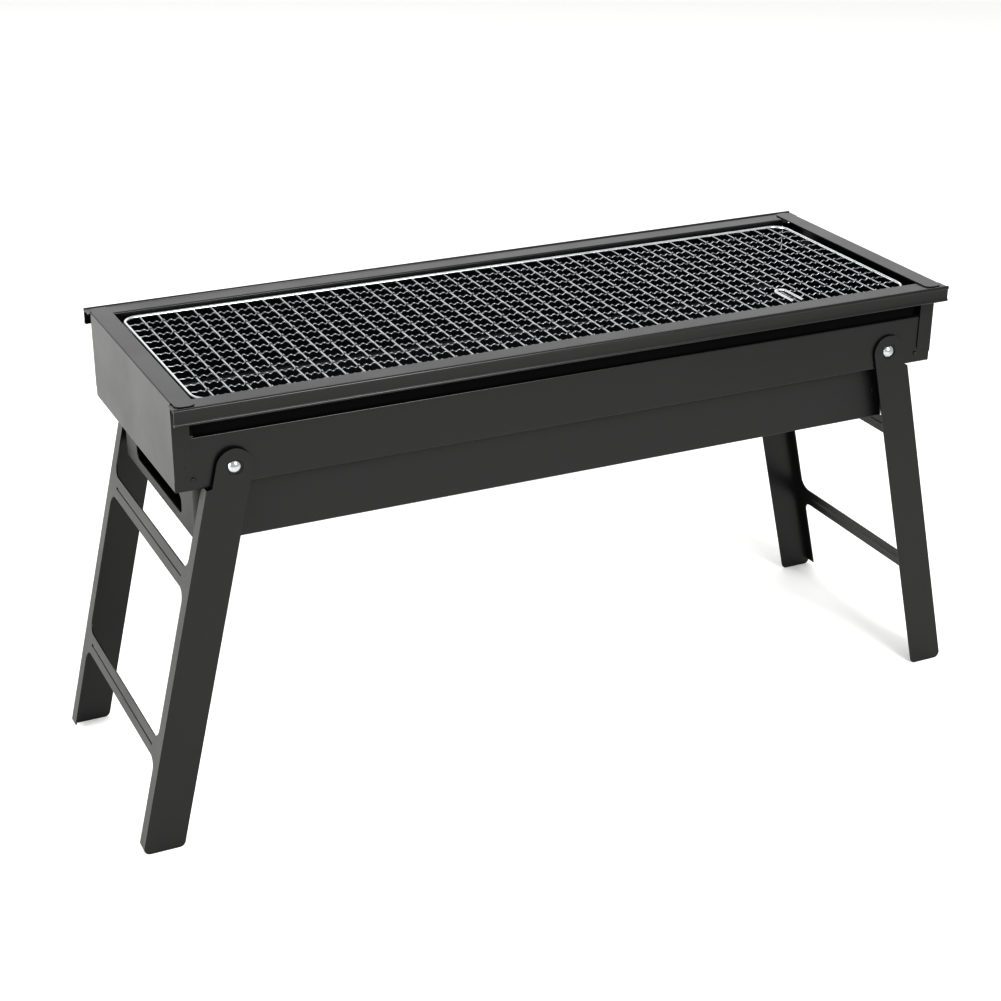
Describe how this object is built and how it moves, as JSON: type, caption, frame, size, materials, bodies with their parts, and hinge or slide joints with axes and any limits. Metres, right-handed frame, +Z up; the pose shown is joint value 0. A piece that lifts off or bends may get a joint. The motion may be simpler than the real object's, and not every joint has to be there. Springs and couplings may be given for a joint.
{
  "type": "folding charcoal grill",
  "caption": "Low rectangular table-top charcoal grill in black sheet steel with a woven wire net, a hanging charcoal tray and two pressed leg frames that fold flat under it.",
  "frame": {"origin": "on the ground, midway between the feet in length and depth", "axes": "+X along the grill's length to the right, -Y towards its front, +Z up"},
  "size_m": [0.6816, 0.222, 0.333],
  "materials": {
    "black_sheet": "satin black paint on sheet steel",
    "tray_sheet": "satin black heat-resistant paint on sheet steel",
    "plated_steel": "bright plated steel",
    "net_wire": "bright plated steel wire"
  },
  "bodies": {
    "grill_body": {"front_side_panel": "black_sheet", "rear_side_panel": "black_sheet", "left_end_panel": "black_sheet", "right_end_panel": "black_sheet", "front_rim": "black_sheet", "rear_rim": "black_sheet", "corner_rivets": "black_sheet", "front_left_pivot_rivet": "plated_steel", "front_right_pivot_rivet": "plated_steel", "rear_left_pivot_rivet": "plated_steel", "rear_right_pivot_rivet": "plated_steel", "front_left_spacer": "plated_steel", "front_right_spacer": "plated_steel", "rear_left_spacer": "plated_steel", "rear_right_spacer": "plated_steel"},
    "charcoal_tray": {"tray_trough": "tray_sheet", "tray_left_end": "tray_sheet", "tray_right_end": "tray_sheet", "tray_rivets": "plated_steel", "charcoal_grate": "tray_sheet"},
    "cooking_net": {"net_frame_wire": "net_wire", "net_long_wires": "net_wire", "net_cross_wires": "net_wire", "net_lift_loop": "net_wire"},
    "left_legs": {"left_leg_frame": "black_sheet"},
    "right_legs": {"right_leg_frame": "black_sheet"}
  },
  "joints": [
    {"name": "right_leg_fold", "type": "hinge", "parent": "grill_body", "child": "right_legs", "pos_m": [0.26154, 0, 0.2825], "axis": [0, 1, 0], "range_deg": [0, 102.9]},
    {"name": "left_leg_fold", "type": "hinge", "parent": "grill_body", "child": "left_legs", "pos_m": [-0.26, 0, 0.2825], "axis": [0, -1, 0], "range_deg": [0, 102.9]},
    {"name": "tray_lift", "type": "slide", "parent": "grill_body", "child": "charcoal_tray", "axis": [0, 0, 1], "range_m": [0, 0.0436]},
    {"name": "net_lift", "type": "slide", "parent": "grill_body", "child": "cooking_net", "axis": [0, 0, 1], "range_m": [0, 0.06]}
  ],
  "couplings": [
    {"joint": "left_leg_fold", "follows": "right_leg_fold", "ratio": 0.974},
    {"joint": "tray_lift", "follows": "right_leg_fold", "m_per_rad": 0.024276}
  ]
}
